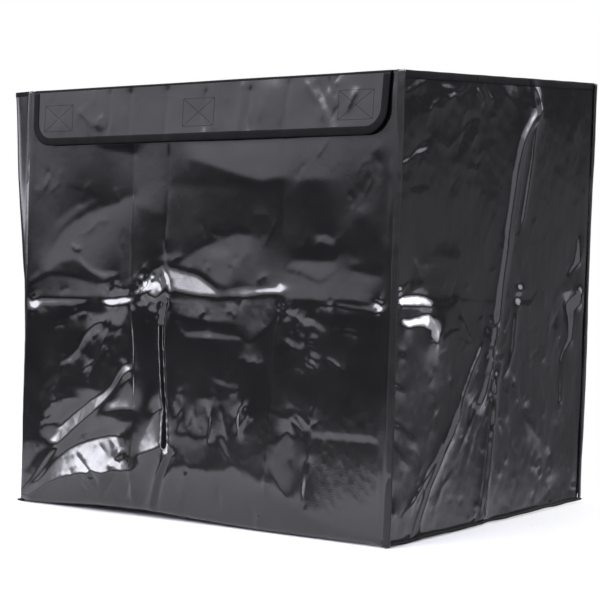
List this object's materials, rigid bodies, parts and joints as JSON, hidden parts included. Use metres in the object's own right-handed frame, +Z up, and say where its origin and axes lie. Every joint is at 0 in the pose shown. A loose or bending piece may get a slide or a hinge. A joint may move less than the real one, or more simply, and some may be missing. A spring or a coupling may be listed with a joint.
{
  "type": "fold-flat cart bag",
  "caption": "Open box bag of glossy coated cloth for a folding cart, with bound seams, side walls that crease inwards and a hook-and-loop flap over each long rim.",
  "frame": {"origin": "centre of the bag's footprint, on the surface it stands on", "axes": "+X along the front wall towards its right end, +Y from the front wall to the back wall, +Z up; the front wall faces -Y"},
  "size_m": [0.605, 0.4516, 0.545],
  "materials": {
    "vinyl": "glossy coated cloth, smooth outside with a fine weave showing through",
    "inner_vinyl": "coated cloth, semi-gloss",
    "binding_tape": "woven tape, matt",
    "hook_tape": "hook tape, matt",
    "loop_tape": "loop tape, matt pile",
    "thread": "polyester thread"
  },
  "bodies": {
    "front_wall_body": {"front_wall": "vinyl", "right_front_seam_binding": "binding_tape", "left_front_seam_binding": "binding_tape", "front_loop_patches": "loop_tape"},
    "front_flap_body": {"front_flap": "vinyl", "front_flap_binding": "binding_tape", "front_hook_patches": "hook_tape", "front_flap_stitching": "thread"},
    "right_side_front_body": {"right_side_front": "vinyl", "right_side_front_top_binding": "binding_tape", "right_side_front_bottom_binding": "binding_tape"},
    "right_side_back_body": {"right_side_back": "vinyl", "right_side_back_top_binding": "binding_tape", "right_side_back_bottom_binding": "binding_tape"},
    "left_side_front_body": {"left_side_front": "vinyl", "left_side_front_top_binding": "binding_tape", "left_side_front_bottom_binding": "binding_tape"},
    "left_side_back_body": {"left_side_back": "vinyl", "left_side_back_top_binding": "binding_tape", "left_side_back_bottom_binding": "binding_tape"},
    "back_wall_body": {"back_wall": "vinyl", "right_back_seam_binding": "binding_tape", "left_back_seam_binding": "binding_tape", "back_loop_patches": "loop_tape"},
    "back_flap_body": {"back_flap": "vinyl", "back_flap_binding": "binding_tape", "back_hook_patches": "hook_tape", "back_flap_stitching": "thread"},
    "floor_front_body": {"floor_front": "inner_vinyl"},
    "floor_back_body": {"floor_back": "inner_vinyl"},
    "corner_front_right_body": {"floor_corner_front_right": "inner_vinyl"},
    "corner_back_right_body": {"floor_corner_back_right": "inner_vinyl"},
    "corner_front_left_body": {"floor_corner_front_left": "inner_vinyl"},
    "corner_back_left_body": {"floor_corner_back_left": "inner_vinyl"}
  },
  "joints": [
    {"name": "bag_fold", "type": "hinge", "parent": "front_wall_body", "child": "right_side_front_body", "pos_m": [0.2917, -0.2217, 0], "axis": [0, 0, 1], "range_deg": [0, 75]},
    {"name": "right_side_crease", "type": "hinge", "parent": "right_side_front_body", "child": "right_side_back_body", "pos_m": [0.2925, 0, 0], "axis": [0, 0, 1], "range_deg": [-151, 1]},
    {"name": "right_back_seam", "type": "hinge", "parent": "right_side_back_body", "child": "back_wall_body", "pos_m": [0.2917, 0.2217, 0], "axis": [0, 0, 1], "range_deg": [-1, 76]},
    {"name": "left_front_seam", "type": "hinge", "parent": "front_wall_body", "child": "left_side_front_body", "pos_m": [-0.2917, -0.2217, 0], "axis": [0, 0, 1], "range_deg": [-76, 1]},
    {"name": "left_side_crease", "type": "hinge", "parent": "left_side_front_body", "child": "left_side_back_body", "pos_m": [-0.2925, 0, 0], "axis": [0, 0, 1], "range_deg": [-1, 151]},
    {"name": "floor_front_fold", "type": "hinge", "parent": "front_wall_body", "child": "floor_front_body", "pos_m": [0, -0.2217, 0.0008], "axis": [1, 0, 0], "range_deg": [-1, 76]},
    {"name": "floor_middle_crease", "type": "hinge", "parent": "floor_front_body", "child": "floor_back_body", "pos_m": [0, 0, 0], "axis": [1, 0, 0], "range_deg": [-151, 1]},
    {"name": "front_right_corner_crease", "type": "hinge", "parent": "right_side_front_body", "child": "corner_front_right_body", "pos_m": [0.2917, 0, 0.0008], "axis": [0, 1, 0], "range_deg": [-1, 91], "deforming": ["floor_corner_front_right"]},
    {"name": "back_right_corner_crease", "type": "hinge", "parent": "right_side_back_body", "child": "corner_back_right_body", "pos_m": [0.2917, 0, 0.0008], "axis": [0, 1, 0], "range_deg": [-1, 91], "deforming": ["floor_corner_back_right"]},
    {"name": "front_left_corner_crease", "type": "hinge", "parent": "left_side_front_body", "child": "corner_front_left_body", "pos_m": [-0.2917, 0, 0.0008], "axis": [0, 1, 0], "range_deg": [-91, 1], "deforming": ["floor_corner_front_left"]},
    {"name": "back_left_corner_crease", "type": "hinge", "parent": "left_side_back_body", "child": "corner_back_left_body", "pos_m": [-0.2917, 0, 0.0008], "axis": [0, 1, 0], "range_deg": [-91, 1], "deforming": ["floor_corner_back_left"]},
    {"name": "front_flap_hinge", "type": "hinge", "parent": "front_wall_body", "child": "front_flap_body", "pos_m": [0, -0.2225, 0.545], "axis": [-1, 0, 0], "range_deg": [0, 175]},
    {"name": "back_flap_hinge", "type": "hinge", "parent": "back_wall_body", "child": "back_flap_body", "pos_m": [0, 0.2225, 0.545], "axis": [1, 0, 0], "range_deg": [0, 175]}
  ],
  "couplings": [
    {"joint": "right_side_crease", "follows": "bag_fold", "ratio": -2},
    {"joint": "right_back_seam", "follows": "bag_fold", "ratio": 1},
    {"joint": "left_front_seam", "follows": "bag_fold", "ratio": -1},
    {"joint": "left_side_crease", "follows": "bag_fold", "ratio": 2},
    {"joint": "floor_front_fold", "follows": "bag_fold", "ratio": 1},
    {"joint": "floor_middle_crease", "follows": "bag_fold", "ratio": -2},
    {"joint": "front_right_corner_crease", "follows": "bag_fold", "ratio": 1.2},
    {"joint": "back_right_corner_crease", "follows": "bag_fold", "ratio": 1.2},
    {"joint": "front_left_corner_crease", "follows": "bag_fold", "ratio": -1.2},
    {"joint": "back_left_corner_crease", "follows": "bag_fold", "ratio": -1.2}
  ]
}
